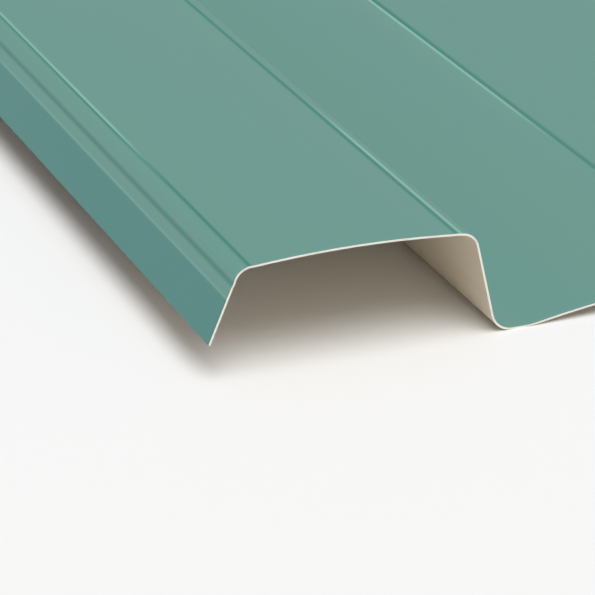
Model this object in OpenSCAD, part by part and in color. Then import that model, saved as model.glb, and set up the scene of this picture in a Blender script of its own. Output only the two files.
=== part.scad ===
// Trapezoidal profiled sheet for roofs and walls, roll-formed from one strip of coated steel.
// The sheet lies on its valleys. X runs across the ribs, Y along them and Z up.
// The origin is on the floor, under the middle of the sheet. All sizes are in mm.

/* [Sheet] */
// Length of the sheet along its ribs
sheet_length = 2000; // [1000:100:6000]
// Number of valleys side by side, with a rib on either side of each
valley_count = 3; // [2:1:4]
// Thickness of the coated strip
strip_thickness = 0.6; // [0.5:0.05:1.2]

/* [Ribs] */
// Distance from the middle of one rib to the middle of the next
rib_pitch = 305; // [280:1:350]
// Height of the section, from under the valleys to the top of the ribs
rib_depth = 28; // [24:0.1:40]
// Width of a rib's crown between its two bends
crown_width = 52.5; // [40:0.1:70]
// Rise of the crown's middle above its two bends
crown_camber = 1.25; // [0.4:0.05:2]
// Slope of the rib's sides, in degrees from level
web_angle = 74.2; // [60:0.1:82]
// Inside radius of the bends between crown and web
crown_bend_radius = 4.5; // [3:0.1:9]
// Inside radius of the bends between web and valley
valley_bend_radius = 5.5; // [2:0.1:8]

/* [Valleys] */
// Width of the level strip beside each web, on which the sheet is seated
seat_width = 3; // [2:0.5:15]
// Rise of the pan in the valley's middle above its seats
valley_rise = 5; // [1:0.1:6]
// Radius at which the valley eases up from its seats
seat_ease_radius = 20; // [8:1:40]
// Distance between the two pressed grooves that stiffen each valley
groove_spacing = 105; // [90:0.5:115]
// Width of a groove
groove_width = 3.4; // [3:0.1:6]
// Depth of a groove below the pan
groove_depth = 0.3; // [0.2:0.05:0.9]

/* [Edge legs] */
// How far the free leg at each side hangs below the edge of its crown
leg_drop = 17.6; // [13:0.1:20]
// Slope of the free legs, in degrees from level
leg_angle = 69; // [60:0.5:82]
// Inside radius of the bend between the outermost crown and its leg
leg_bend_radius = 3.7; // [2:0.1:7]

/* [Hidden] */

// Steps in which a bend, a crown and a groove turn
bend_steps = 8;

half_strip = strip_thickness / 2;

// The crown is a shallow arc that leaves its bends at this slope
crown_slope = 2 * atan(2 * crown_camber / crown_width);
crown_radius = crown_width / 2 / sin(crown_slope);

// Radii at the middle of the strip
crown_turn_radius = crown_bend_radius + half_strip;
valley_turn_radius = valley_bend_radius + half_strip;
leg_turn_radius = leg_bend_radius + half_strip;

// A groove is two small bends with a round bottom between them
groove_angle = 2 * atan(2 * groove_depth / groove_width);
groove_turn_radius = groove_width / 4 / sin(groove_angle);

// Straight stretches of the section, at the middle of the strip
web_drop = rib_depth - strip_thickness - crown_camber;
crown_turn_drop = crown_turn_radius * (cos(crown_slope) - cos(web_angle));
valley_turn_drop = valley_turn_radius * (1 - cos(web_angle));
web_run = (web_drop - crown_turn_drop - valley_turn_drop) / sin(web_angle);
leg_turn_drop = leg_turn_radius * (cos(crown_slope) - cos(leg_angle));
leg_run = (leg_drop - leg_turn_drop) / sin(leg_angle);

// Half a rib, from the middle of its crown to the seat beside it
crown_turn_reach = crown_turn_radius * (sin(web_angle) - sin(crown_slope));
web_reach = web_run * cos(web_angle) + valley_turn_radius * sin(web_angle);
rib_half = crown_width / 2 + crown_turn_reach + web_reach;

// The valley eases up from its seats to this slope and arches over to a level pan between its grooves
arch_reach = (rib_pitch - groove_spacing - groove_width) / 2 - rib_half - seat_width;
arch_slope = 2 * atan(valley_rise / arch_reach);
arch_radius = arch_reach / sin(arch_slope) - seat_ease_radius;
pan_run = groove_spacing - groove_width;

// Where the strip starts: the tip of the left leg
leg_reach = leg_turn_radius * (sin(leg_angle) - sin(crown_slope)) + leg_run * cos(leg_angle);
first_tip = [
    -valley_count * rib_pitch / 2 - crown_width / 2 - leg_reach,
    half_strip + web_drop - leg_drop
];

// Each forming step is a straight run, then a turn by an angle (up is positive) at a radius
crown_steps = [[0, -2 * crown_slope, crown_radius]];
web_turn = web_angle - crown_slope;
leg_turn = leg_angle - crown_slope;
left_leg = [[leg_run, -leg_turn, leg_turn_radius]];
web_down = [[0, -web_turn, crown_turn_radius], [web_run, web_angle, valley_turn_radius]];
arch_up = [[seat_width, arch_slope, seat_ease_radius], [0, -arch_slope, arch_radius]];
function groove_after(run) = [
    [run, -groove_angle, groove_turn_radius],
    [0, 2 * groove_angle, groove_turn_radius],
    [0, -groove_angle, groove_turn_radius]
];
arch_down = [[0, -arch_slope, arch_radius], [0, arch_slope, seat_ease_radius]];
web_up = [[seat_width, web_angle, valley_turn_radius], [web_run, -web_turn, crown_turn_radius]];
valley_steps = concat(web_down, arch_up, groove_after(0), groove_after(pan_run), arch_down, web_up);
right_leg = [[0, -leg_turn, leg_turn_radius], [leg_run, 0, leg_turn_radius]];

forming = concat(
    left_leg,
    crown_steps,
    [for (v = [1 : valley_count], s = concat(valley_steps, crown_steps)) s],
    right_leg
);

// How a run and a turn move the strip's end on
function run_move(run, heading) = run * [cos(heading), sin(heading)];
function turn_move(turn, radius, heading) =
    sign(turn) * radius
    * [sin(heading + turn) - sin(heading), cos(heading) - cos(heading + turn)];

// Middle line of the strip as a list of place and heading, step after step
function strip_line(steps, place, heading, i = 0) =
    i == len(steps) ? [] :
    let (
        run = steps[i][0],
        turn = steps[i][1],
        radius = steps[i][2],
        bend_start = place + run_move(run, heading),
        stations = turn == 0 ? [[bend_start, heading]] : [
            for (k = [(run == 0 ? 1 : 0) : bend_steps])
                let (part_turn = turn * k / bend_steps)
                [bend_start + turn_move(part_turn, radius, heading), heading + part_turn]
        ]
    )
    concat(
        stations,
        strip_line(steps, bend_start + turn_move(turn, radius, heading), heading + turn, i + 1)
    );

strip = concat([[first_tip, leg_angle]], strip_line(forming, first_tip, leg_angle));

// A face of the strip, set off square to its middle line
function strip_face(offset) = [
    for (s = strip) s[0] + offset * [-sin(s[1]), cos(s[1])]
];

function backwards(points) = [for (i = [len(points) - 1 : -1 : 0]) points[i]];

// The one piece: the strip's section, drawn out over the length of the sheet
module profiled_sheet() {
    color([0.44, 0.62, 0.57])
        rotate([90, 0, 0])
            linear_extrude(height = sheet_length, center = true)
                polygon(concat(strip_face(half_strip), backwards(strip_face(-half_strip))));
}

profiled_sheet();
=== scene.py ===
import math
from collections import namedtuple

import bpy
import numpy as np
from mathutils import Matrix, Vector, noise


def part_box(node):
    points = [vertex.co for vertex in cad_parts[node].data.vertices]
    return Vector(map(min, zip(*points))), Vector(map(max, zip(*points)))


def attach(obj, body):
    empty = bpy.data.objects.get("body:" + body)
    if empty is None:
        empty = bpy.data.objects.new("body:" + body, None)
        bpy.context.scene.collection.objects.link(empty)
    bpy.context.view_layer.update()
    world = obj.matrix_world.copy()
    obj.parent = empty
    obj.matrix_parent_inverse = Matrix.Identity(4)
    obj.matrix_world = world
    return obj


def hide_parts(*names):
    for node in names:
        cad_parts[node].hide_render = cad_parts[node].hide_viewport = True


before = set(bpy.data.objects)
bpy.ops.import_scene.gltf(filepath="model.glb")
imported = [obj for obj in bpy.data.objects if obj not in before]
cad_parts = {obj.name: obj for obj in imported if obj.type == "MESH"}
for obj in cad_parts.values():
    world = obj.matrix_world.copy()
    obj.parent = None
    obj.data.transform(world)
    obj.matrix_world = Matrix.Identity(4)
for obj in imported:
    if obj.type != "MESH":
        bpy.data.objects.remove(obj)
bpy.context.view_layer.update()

# The sheet.
# One strip of zinc-coated steel, painted in the coil and roll-formed into ribs and raised valleys.
# The rolls leave fine ridges and creases along its folds, lined with painted highlights and
# painted shade. It is cut to size, and the cuts stay bare.

sheet_low, sheet_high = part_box("profiled_sheet")
near_end, far_end = sheet_low.y, sheet_high.y

strip_thickness = 0.0006
half_strip = strip_thickness / 2
valley_count = 3
rib_pitch = 0.305
rib_depth = 0.028
crown_width, crown_camber = 0.0525, 0.00125
web_angle = math.radians(74.2)
leg_angle = math.radians(69)
crown_bend = 0.0045 + half_strip
valley_bend = 0.0055 + half_strip
leg_bend = 0.0037 + half_strip
leg_drop = 0.0176
seat_width, seat_ease, valley_rise = 0.003, 0.020, 0.005
groove_spacing, groove_width, groove_depth = 0.105, 0.0034, 0.0003

crown_slope = 2 * math.atan(2 * crown_camber / crown_width)
crown_radius = crown_width / 2 / math.sin(crown_slope)
web_turn, leg_turn = web_angle - crown_slope, leg_angle - crown_slope
web_drop = rib_depth - strip_thickness - crown_camber
web_run = web_drop - crown_bend * (math.cos(crown_slope) - math.cos(web_angle))
web_run -= valley_bend * (1 - math.cos(web_angle))
web_run /= math.sin(web_angle)
leg_run = leg_drop - leg_bend * (math.cos(crown_slope) - math.cos(leg_angle))
leg_run /= math.sin(leg_angle)
leg_reach = leg_bend * (math.sin(leg_angle) - math.sin(crown_slope))
leg_reach += leg_run * math.cos(leg_angle)
rib_half = crown_width / 2 + crown_bend * (math.sin(web_angle) - math.sin(crown_slope))
rib_half += web_run * math.cos(web_angle) + valley_bend * math.sin(web_angle)
arch_reach = (rib_pitch - groove_spacing - groove_width) / 2 - rib_half - seat_width
arch_slope = 2 * math.atan(valley_rise / arch_reach)
arch_radius = arch_reach / math.sin(arch_slope) - seat_ease
groove_angle = 2 * math.atan(2 * groove_depth / groove_width)
groove_bend = groove_width / 4 / math.sin(groove_angle)
pan_run = groove_spacing - groove_width

# Each pass of the rolls makes a straight run and then a turn at a radius, both in steps.
Pass = namedtuple("Pass", "name run run_steps turn radius turn_steps")
crown = [Pass("crown", 0, 0, -2 * crown_slope, crown_radius, 10)]
web_down = [
    Pass("fold", 0, 0, -web_turn, crown_bend, 12),
    Pass("foot", web_run, 2, web_angle, valley_bend, 10),
]
arch_up = [
    Pass("seat", seat_width, 1, arch_slope, seat_ease, 3),
    Pass("arch", 0, 0, -arch_slope, arch_radius, 8),
]
groove = [
    Pass("lip", 0, 0, -groove_angle, groove_bend, 4),
    Pass("groove", 0, 0, 2 * groove_angle, groove_bend, 8),
    Pass("lip", 0, 0, -groove_angle, groove_bend, 4),
]
pan = [Pass("pan", pan_run, 12, 0, 0, 0)]
arch_down = [
    Pass("arch", 0, 0, -arch_slope, arch_radius, 8),
    Pass("seat", 0, 0, arch_slope, seat_ease, 3),
]
web_up = [
    Pass("foot", seat_width, 1, web_angle, valley_bend, 10),
    Pass("fold", web_run, 2, -web_turn, crown_bend, 12),
]
valley = web_down + arch_up + groove + pan + groove + arch_down + web_up
roll_passes = [Pass("leg", leg_run, 3, -leg_turn, leg_bend, 12)] + crown
roll_passes += (valley + crown) * valley_count
roll_passes += [Pass("leg", 0, 0, -leg_turn, leg_bend, 12), Pass("leg", leg_run, 3, 0, 0, 0)]

# The formed strip, one straight or evenly curled stretch after another.
# A stretch starts at a width along the strip, and there has a place and a heading.
Stretch = namedtuple("Stretch", "name start length x z heading curl")


def along_stretch(stretch, distance):
    """Place and heading on the strip's middle line, at a distance into one stretch."""
    x, z, heading, curl = stretch.x, stretch.z, stretch.heading, stretch.curl
    if curl == 0:
        return x + distance * math.cos(heading), z + distance * math.sin(heading), heading
    turned = heading + curl * distance
    return (
        x + (math.sin(turned) - math.sin(heading)) / curl,
        z + (math.cos(heading) - math.cos(turned)) / curl,
        turned,
    )


place = (
    -valley_count * rib_pitch / 2 - crown_width / 2 - leg_reach,
    half_strip + web_drop - leg_drop,
    leg_angle,
)
stretches, columns, strip_width = [], [0.0], 0.0
for name, run, run_steps, turn, radius, turn_steps in roll_passes:
    parts = [(run, 0.0, run_steps)] if run else []
    parts += [(abs(turn) * radius, math.copysign(1 / radius, turn), turn_steps)] if turn else []
    for length, curl, steps in parts:
        stretches.append(Stretch(name, strip_width, length, *place, curl))
        columns += [strip_width + length * step / steps for step in range(1, steps + 1)]
        place = along_stretch(stretches[-1], length)
        strip_width += length

# Where the rolls leave their lines, in width along the strip from the left leg's tip.
crowns = [s for s in stretches if s.name == "crown"]
line_inset = 0.0015
left_insets = [0.0] + [line_inset] * valley_count
left_lines = [s.start + inset for s, inset in zip(crowns, left_insets)]
right_lines = [s.start + s.length - inset for s, inset in zip(crowns, reversed(left_insets))]
groove_middles = [s.start + s.length / 2 for s in stretches if s.name == "groove"]
leg_fold_drop, leg_line_drop, leg_fold_reach = 0.0011, 0.0047, 0.0011
leg_folds = (leg_run - leg_fold_drop, strip_width - leg_run + leg_fold_drop)
leg_lines = (leg_run - leg_line_drop, strip_width - leg_run + leg_line_drop)

# Closer columns beside each line keep its colour crisp. Columns that all but meet become one.
fold_steps = np.arange(-8, 9) * 0.00025
leg_line_steps = np.array([-0.0006, -0.0003, -0.00012, 0.00012, 0.0003, 0.0006])
least_step = 0.00008
for line in (*left_lines, *right_lines, *leg_folds):
    columns += list(line + fold_steps)
for line in leg_lines:
    columns += list(line + leg_line_steps)
columns = sorted(columns)
columns = np.array([0.0] + [b for a, b in zip(columns, columns[1:]) if b - a > least_step])

# Rows along the length: close at the sheared ends, 12 mm apart for a hand's width, then 5 cm.
shear_rows, hand_rows = [0.0, 0.0002, 0.0012, 0.004], np.arange(1, 13) * 0.012
end_rows = np.concatenate([shear_rows, hand_rows])
wide_rows_from, wide_row_count = 0.18, 33
rows = np.concatenate([
    near_end + end_rows,
    np.linspace(near_end + wide_rows_from, far_end - wide_rows_from, wide_row_count),
    (far_end - end_rows)[::-1],
])

# The strip's middle line, and the springy middle of each wide stretch between its bends.
across, along = len(columns), len(rows)
middle = np.zeros((across, 3))
springy = np.zeros(across)
give = {"crown": 0.35, "arch": 0.6, "pan": 1.0}
starts = [s.start for s in stretches]
for j, width in enumerate(columns):
    stretch = stretches[max(np.searchsorted(starts, width, side="right") - 1, 0)]
    middle[j] = along_stretch(stretch, width - stretch.start)
    share = np.clip((width - stretch.start) / stretch.length, 0, 1)
    springy[j] = give.get(stretch.name, 0) * math.sin(math.pi * share) ** 2
square_off = np.stack([-np.sin(middle[:, 2]), np.zeros(across), np.cos(middle[:, 2])], 1)


def hump(distance, half_width):
    """One at the line, falling smoothly to nothing at a half width from it."""
    return np.cos(np.clip(distance / half_width, -1, 1) * math.pi / 2) ** 2


# Fine relief of the rolls: a ridge on each crown fold, a crease and a finer ridge on each leg.
fold_ridge, fold_ridge_reach = 0.00008, 0.0012
leg_crease, leg_crease_reach = 0.00008, 0.0010
leg_ridge, leg_ridge_reach = 0.00004, 0.0004
relief = np.zeros(across)
for line in (*left_lines, *right_lines):
    relief += fold_ridge * hump(columns - line, fold_ridge_reach)
for fold in leg_folds:
    relief -= leg_crease * hump(columns - fold, leg_crease_reach)
for line in leg_lines:
    relief += leg_ridge * hump(columns - line, leg_ridge_reach)

# Thin wide panels never lie quite flat, and the free legs wave a little more towards their tips.
# The shear rolls the painted face a little over at both ends.
panel_wave, panel_waves_across, panel_waves_along, panel_seed = 0.00015, 5, 6, 3.1
leg_wave, leg_waves_along, leg_seed = 0.00030, 4.5, 8.7
shear_roll = 0.00010
tip_share = np.clip(1 - np.minimum(columns, strip_width - columns) / leg_run, 0, 1)
top = np.zeros((across, along, 3))
under = np.zeros((across, along, 3))
for j, (x, z) in enumerate(middle[:, :2]):
    for k, y in enumerate(rows):
        lift = relief[j]
        if springy[j] > 0:
            spot = Vector((x * panel_waves_across, y * panel_waves_along, panel_seed))
            lift += panel_wave * springy[j] * noise.noise(spot)
        if tip_share[j] > 0:
            spot = Vector((x, y * leg_waves_along, leg_seed))
            lift += leg_wave * tip_share[j] ** 2 * noise.noise(spot)
        core = np.array([x, y, z])
        drawn_down = shear_roll if k in (0, along - 1) else 0.0
        top[j, k] = core + (lift + half_strip - drawn_down) * square_off[j]
        under[j, k] = core + (lift - half_strip) * square_off[j]

corner = np.arange(across * along).reshape(across, along)
below = corner + across * along
painted, backed, bare = 0, 1, 2


def patch(a, b, c, d):
    """Faces with four corners each, taken in turn from four like arrays of points."""
    return np.stack([a.ravel(), b.ravel(), c.ravel(), d.ravel()], 1)


faces, finishes = [], []
for quads, finish in (
    (patch(corner[:-1, :-1], corner[1:, :-1], corner[1:, 1:], corner[:-1, 1:]), painted),
    (patch(below[:-1, 1:], below[1:, 1:], below[1:, :-1], below[:-1, :-1]), backed),
    (patch(below[:-1, 0], below[1:, 0], corner[1:, 0], corner[:-1, 0]), bare),
    (patch(corner[:-1, -1], corner[1:, -1], below[1:, -1], below[:-1, -1]), bare),
    (patch(corner[0, :-1], corner[0, 1:], below[0, 1:], below[0, :-1]), bare),
    (patch(below[-1, :-1], below[-1, 1:], corner[-1, 1:], corner[-1, :-1]), bare),
):
    faces += quads.tolist()
    finishes += [finish] * len(quads)

sharp_from = math.radians(40)
sheet_mesh = bpy.data.meshes.new("formed_sheet")
points = np.concatenate([top.reshape(-1, 3), under.reshape(-1, 3)])
sheet_mesh.from_pydata(points.tolist(), [], faces)
sheet_mesh.polygons.foreach_set("material_index", finishes)
sheet_mesh.polygons.foreach_set("use_smooth", [True] * len(faces))
sheet_mesh.set_sharp_from_angle(angle=sharp_from)

# Along each roll line the paint carries painted highlights and painted shade: the glints and dark
# reflections of the crown folds, the lit and shaded walls of the grooves, the shade in each leg's
# crease and a highlight on its fine ridge. This changes towards the sheared ends, on each line a
# little further in than on the last.
from_end = np.minimum(rows - near_end, far_end - rows)
change_length = 0.012
left_change, right_change, fold_change_step = 0.069, 0.070, 0.008
groove_change, groove_change_step = 0.100, 0.006
whole = np.ones(along)


def inland(distance):
    """Along the length: nothing at the ends, one further in than a distance from them."""
    return 0.5 + 0.5 * np.tanh((from_end - distance) / change_length)


def mark(line, strength, half_width, offset=0.0):
    """A mark along a line, or offset to its right, with its strength at each row."""
    return np.outer(hump(columns - line - offset, half_width), strength)


dark = np.zeros((across, along))
bright = np.zeros((across, along))
for i, line in enumerate(left_lines):
    shine = inland(left_change + fold_change_step * i)
    bright += mark(line, shine, half_width=0.0006, offset=0.0001)
    dark += mark(line, 0.92 * shine, half_width=0.0005, offset=-0.00045)
    dark += mark(line, 0.82 * (1 - shine), half_width=0.0008)
for i, line in enumerate(right_lines):
    shine = 1 - inland(right_change + fold_change_step * i)
    bright += mark(line, shine, half_width=0.0008, offset=0.0009)
    dark += mark(line, 0.9 * whole, half_width=0.0010, offset=-0.0002)
for i, line in enumerate(groove_middles):
    shine = inland(groove_change + groove_change_step * i)
    bright += mark(line, shine, half_width=0.0011, offset=-0.0008)
    dark += mark(line, 0.75 * whole, half_width=0.0012, offset=0.0005)
for fold in leg_folds:
    dark += mark(fold, 0.40 * whole, half_width=leg_fold_reach)
for line in leg_lines:
    bright += mark(line, 0.55 * whole, half_width=0.0005)

# Over each leg's fold, and down to its line, the paint is painted lighter: painted light that
# keeps the turning fold as bright as the top. Below its line the leg is painted darker and cooler,
# painted shade of the side that faces away from the lamp, which the fold's crease shares.
fold_width = leg_bend * leg_turn
fold_painted_light = np.zeros((across, along))
for fold_end, line, outward in zip((leg_run, strip_width - leg_run), leg_lines, (-1, 1)):
    out_from_crown = (columns - fold_end) * outward + fold_width
    band = np.clip(out_from_crown / fold_width, 0, 1)
    fold_painted_light += np.outer(band * ((columns - line) * outward <= 0), whole)
leg_painted_shade = np.zeros((across, along))
leg_painted_shade[columns < leg_lines[0]] = 1
leg_painted_shade[columns > leg_lines[1]] = 1
for fold in leg_folds:
    leg_painted_shade += mark(fold, 0.7 * whole, half_width=leg_fold_reach)

# The painted shade and highlights, the leg folds' painted light and the legs' painted shade, kept
# on the mesh.
for name, values in (
    ("painted_shade_lines", dark),
    ("painted_highlight_lines", bright),
    ("painted_light_fold", fold_painted_light),
    ("leg_painted_shade", leg_painted_shade),
):
    layer = sheet_mesh.attributes.new(name, "FLOAT", "POINT")
    layer.data.foreach_set("value", np.tile(np.clip(values, 0, 1).ravel(), 2).astype(np.float32))
sheet_mesh.update()
sheet = bpy.data.objects.new("formed_sheet", sheet_mesh)
bpy.context.scene.collection.objects.link(sheet)


def new_finish(name):
    """A new material with its node tree and its shader."""
    finish = bpy.data.materials.new(name)
    finish.use_nodes = True
    tree = finish.node_tree
    return finish, tree, tree.nodes["Principled BSDF"]


def feed(tree, value, socket):
    """A linked value or a plain one into a socket."""
    if isinstance(value, bpy.types.NodeSocket):
        tree.links.new(value, socket)
    else:
        socket.default_value = value


def grain(tree, per_metre, detail, low, high):
    """Noise over the sheet, with so many specks a metre each way, between two values."""
    spot = tree.nodes.new("ShaderNodeTexCoord")
    spacing = tree.nodes.new("ShaderNodeMapping")
    spacing.inputs["Scale"].default_value = per_metre
    speck = tree.nodes.new("ShaderNodeTexNoise")
    speck.inputs["Scale"].default_value = 1.0
    speck.inputs["Detail"].default_value = detail
    speck.inputs["Roughness"].default_value = 0.55
    spread = tree.nodes.new("ShaderNodeMapRange")
    spread.inputs["From Min"].default_value = 0.3
    spread.inputs["From Max"].default_value = 0.7
    spread.inputs["To Min"].default_value = low
    spread.inputs["To Max"].default_value = high
    tree.links.new(spot.outputs["Object"], spacing.inputs["Vector"])
    tree.links.new(spacing.outputs["Vector"], speck.inputs["Vector"])
    tree.links.new(speck.outputs["Fac"], spread.inputs["Value"])
    return spread.outputs["Result"]


def laid_over(tree, share, lower, upper):
    """One colour laid over another by a share."""
    mix = tree.nodes.new("ShaderNodeMix")
    mix.data_type = "RGBA"
    share_socket, lower_socket, upper_socket = mix.inputs[0], mix.inputs[6], mix.inputs[7]
    feed(tree, share, share_socket)
    feed(tree, lower, lower_socket)
    feed(tree, upper, upper_socket)
    colour_socket = mix.outputs[2]
    return colour_socket


def times(tree, first, second):
    """One value times another."""
    product = tree.nodes.new("ShaderNodeMath")
    product.operation = "MULTIPLY"
    feed(tree, first, product.inputs[0])
    feed(tree, second, product.inputs[1])
    return product.outputs[0]


def strip_layer(tree, name):
    """The share of a mark or tone that the mesh holds at each point."""
    layer = tree.nodes.new("ShaderNodeAttribute")
    layer.attribute_type = "GEOMETRY"
    layer.attribute_name = name
    return layer.outputs["Fac"]


def raised(tree, shader, height, distance, strength):
    """A skin of fine specks, raised by a distance."""
    bump = tree.nodes.new("ShaderNodeBump")
    bump.inputs["Strength"].default_value = strength
    bump.inputs["Distance"].default_value = distance
    tree.links.new(height, bump.inputs["Height"])
    tree.links.new(bump.outputs["Normal"], shader.inputs["Normal"])


# Weather side: satin grey-green coil paint.
paint, tree, shader = new_finish("weather_side_paint")
green = (0.141, 0.317, 0.273, 1)
green_faded = (0.158, 0.336, 0.291, 1)
# Painted light: the leg folds' lighter green. Painted shade: the legs' darker, cooler green.
green_painted_light = (0.179, 0.386, 0.332, 1)
green_leg_painted_shade = (0.106, 0.307, 0.284, 1)
# Painted shade and painted highlights along the roll lines.
green_painted_shade = (0.024, 0.212, 0.166, 1)
green_painted_highlight = (0.297, 0.580, 0.474, 1)
clouds = grain(tree, per_metre=(3.0, 1.4, 3.0), detail=3, low=0.36, high=0.64)
streaks = grain(tree, per_metre=(160, 1.6, 160), detail=4, low=0.0, high=0.25)
colour = laid_over(tree, clouds, green, green_faded)
colour = laid_over(tree, streaks, colour, green_faded)
# The leg folds' painted light and the legs' painted shade.
colour = laid_over(tree, strip_layer(tree, "painted_light_fold"), colour, green_painted_light)
colour = laid_over(tree, strip_layer(tree, "leg_painted_shade"), colour, green_leg_painted_shade)
# The painted shade and painted highlights along the roll lines, a little uneven.
uneven_painted_shade = grain(tree, per_metre=(60, 12, 60), detail=3, low=0.75, high=1.0)
painted_shade_share = times(tree, strip_layer(tree, "painted_shade_lines"), uneven_painted_shade)
colour = laid_over(tree, painted_shade_share, colour, green_painted_shade)
uneven_painted_highlight = grain(tree, per_metre=(60, 12, 60), detail=3, low=0.7, high=1.0)
painted_highlight_share = times(tree, strip_layer(tree, "painted_highlight_lines"), uneven_painted_highlight)
colour = laid_over(tree, painted_highlight_share, colour, green_painted_highlight)
tree.links.new(colour, shader.inputs["Base Color"])
satin = grain(tree, per_metre=(60, 8, 60), detail=3, low=0.38, high=0.41)
tree.links.new(satin, shader.inputs["Roughness"])
shader.inputs["IOR"].default_value = 1.48
shader.inputs["Specular IOR Level"].default_value = 0.18
paint_skin = grain(tree, per_metre=(620, 540, 620), detail=2, low=0, high=1)
raised(tree, shader, paint_skin, distance=0.00003, strength=0.12)

# Back: thin beige coat with faint drawing marks along the strip.
back_coat, tree, shader = new_finish("beige_back_coat")
beige = (0.740, 0.650, 0.510, 1)
beige_thin = (0.650, 0.570, 0.440, 1)
drawing_marks = grain(tree, per_metre=(240, 1.2, 240), detail=4, low=0.0, high=0.7)
tree.links.new(laid_over(tree, drawing_marks, beige, beige_thin), shader.inputs["Base Color"])
dull = grain(tree, per_metre=(50, 6, 50), detail=3, low=0.45, high=0.6)
tree.links.new(dull, shader.inputs["Roughness"])
coat_skin = grain(tree, per_metre=(700, 60, 700), detail=2, low=0, high=1)
raised(tree, shader, coat_skin, distance=0.00002, strength=0.3)

# Cuts: bare sheared steel under its zinc, dull and pale, lightly browned in spots.
bare_cut, tree, shader = new_finish("bare_cut_edge")
pale_zinc = (0.95, 0.92, 0.86, 1)
browned = (0.62, 0.50, 0.41, 1)
spots = grain(tree, per_metre=(140, 140, 140), detail=4, low=-0.6, high=0.6)
tree.links.new(laid_over(tree, spots, pale_zinc, browned), shader.inputs["Base Color"])
shader.inputs["Metallic"].default_value = 0.15
rough = grain(tree, per_metre=(300, 300, 300), detail=3, low=0.42, high=0.6)
tree.links.new(rough, shader.inputs["Roughness"])
shear_marks = grain(tree, per_metre=(2600, 2600, 300), detail=2, low=0, high=1)
raised(tree, shader, shear_marks, distance=0.00003, strength=0.4)

for finish in (paint, back_coat, bare_cut):
    sheet_mesh.materials.append(finish)
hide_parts("profiled_sheet")
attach(sheet, "root")

# The floor.
# A wide plain studio floor, matt and nearly white.
# The sheet lies on it on the level strips beside its webs.

floor_reach = 60.0
floor_mesh = bpy.data.meshes.new("studio_floor")
floor_mesh.from_pydata(
    [(i * floor_reach, j * floor_reach, 0) for i, j in ((-1, -1), (1, -1), (1, 1), (-1, 1))],
    [], [(0, 1, 2, 3)],
)
floor = bpy.data.objects.new("studio_floor", floor_mesh)
bpy.context.scene.collection.objects.link(floor)
floor_paint, tree, shader = new_finish("studio_floor_white")
floor_white = (0.935, 0.935, 0.93, 1)
shader.inputs["Base Color"].default_value = floor_white
shader.inputs["Roughness"].default_value = 0.9
shader.inputs["Specular IOR Level"].default_value = 0.1
floor_mesh.materials.append(floor_paint)

# The light.
# A pale room, bright low down and overhead and dimmer between, and one broad soft lamp high over
# the near end, so that the tops are a little brighter than the legs and the cut edge is lit.

room = bpy.data.worlds.new("pale_room")
bpy.context.scene.world = room
room.use_nodes = True
tree = room.node_tree
direction = tree.nodes.new("ShaderNodeTexCoord")
split = tree.nodes.new("ShaderNodeSeparateXYZ")
walls = tree.nodes.new("ShaderNodeValToRGB")
# Heights, from 0 at the horizon to 1 straight overhead, each with its brightness.
levels = ((0.0, 1.0), (0.3, 0.9), (0.5, 0.52), (0.6, 0.55), (0.75, 0.65), (0.87, 0.84), (1.0, 1.0))
while len(walls.color_ramp.elements) < len(levels):
    walls.color_ramp.elements.new(0.5)
for element, (height, level) in zip(walls.color_ramp.elements, levels):
    element.position = height
    element.color = (level, level, level, 1)
tree.links.new(direction.outputs["Generated"], split.inputs["Vector"])
tree.links.new(split.outputs["Z"], walls.inputs["Fac"])
tree.links.new(walls.outputs["Color"], tree.nodes["Background"].inputs["Color"])
tree.nodes["Background"].inputs["Strength"].default_value = 0.48

lamp_data = bpy.data.lights.new("broad_lamp", "SUN")
lamp_data.energy = 2.15
lamp_data.angle = math.radians(50)
lamp = bpy.data.objects.new("broad_lamp", lamp_data)
lamp_shines_along = Vector((-0.03, 0.32, -0.95))
lamp.rotation_euler = lamp_shines_along.to_track_quat("-Z", "Y").to_euler()
bpy.context.scene.collection.objects.link(lamp)

# The camera.
# A long lens close over the near left corner, looking down along the ribs.

camera_data = bpy.data.cameras.new("corner_camera")
camera_data.lens = 173.30
camera_data.sensor_width = 36
camera_data.clip_start = 0.01
camera_data.clip_end = 200
camera = bpy.data.objects.new("corner_camera", camera_data)
camera_place = (-0.71877, -1.5149, 0.29388)
camera_right = Vector((0.909602, -0.413297, 0.042544))
camera_up = Vector((0.14569, 0.413173, 0.898923))
camera_back = Vector((-0.3891, -0.811464, 0.436036))
camera_turn = Matrix((camera_right, camera_up, camera_back)).transposed().to_4x4()
camera.matrix_world = Matrix.Translation(camera_place) @ camera_turn
bpy.context.scene.collection.objects.link(camera)
bpy.context.scene.camera = camera
bpy.context.scene.view_settings.view_transform = "Standard"
